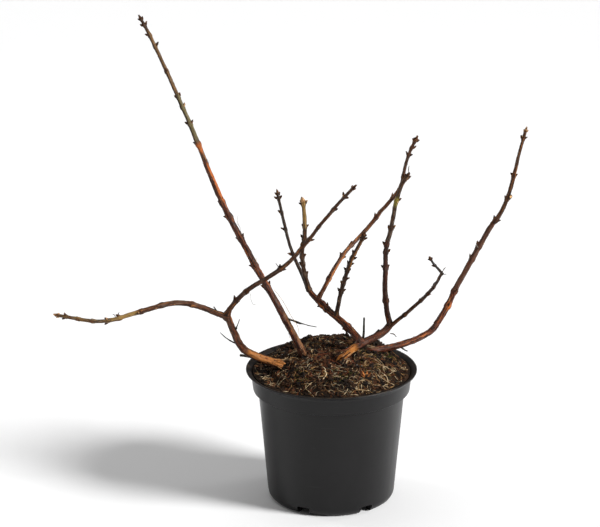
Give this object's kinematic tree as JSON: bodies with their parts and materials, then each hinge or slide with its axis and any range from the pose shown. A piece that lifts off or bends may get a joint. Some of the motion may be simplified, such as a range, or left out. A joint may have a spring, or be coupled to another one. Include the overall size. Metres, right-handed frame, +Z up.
{
  "type": "potted honeyberry bush",
  "caption": "Bare winter honeyberry bush with long arching budded shoots, standing in peaty compost in a round black nursery pot.",
  "frame": {"origin": "middle of the pot's flat underside, on the ground that it stands on", "axes": "+Z up along the pot's axis, +X to the right and -Y towards the viewer as the bush is pictured"},
  "size_m": [0.5156, 0.2286, 0.5351],
  "materials": {
    "pot_plastic": "satin black moulded plastic",
    "compost": "dark fibrous peat compost with straw and moss",
    "stem_bark": "red-brown peeling bark",
    "bough_bark": "red-brown bark, lightly ridged",
    "shoot_bark": "young brown to olive bark with brown buds",
    "dead_wood": "dry blackened twig"
  },
  "bodies": {
    "root": {"pot": "pot_plastic", "compost": "compost", "tall_stem": "stem_bark", "left_stem": "stem_bark", "right_stem": "stem_bark", "centre_stem": "stem_bark", "outer_stem": "stem_bark", "left_bough": "bough_bark", "crossing_bough": "bough_bark", "arching_bough": "bough_bark", "upright_bough": "bough_bark", "side_bough": "bough_bark", "outer_bough": "bough_bark", "tall_shoot": "shoot_bark", "left_shoot": "shoot_bark", "crossing_shoot": "shoot_bark", "centre_left_shoot": "shoot_bark", "centre_shoot": "shoot_bark", "arching_shoot": "shoot_bark", "budded_side_shoot": "shoot_bark", "upright_shoot": "shoot_bark", "side_shoot": "shoot_bark", "outer_shoot": "shoot_bark", "dead_stick": "dead_wood", "dead_stub": "dead_wood", "rim_twig": "dead_wood"}
  },
  "joints": []
}
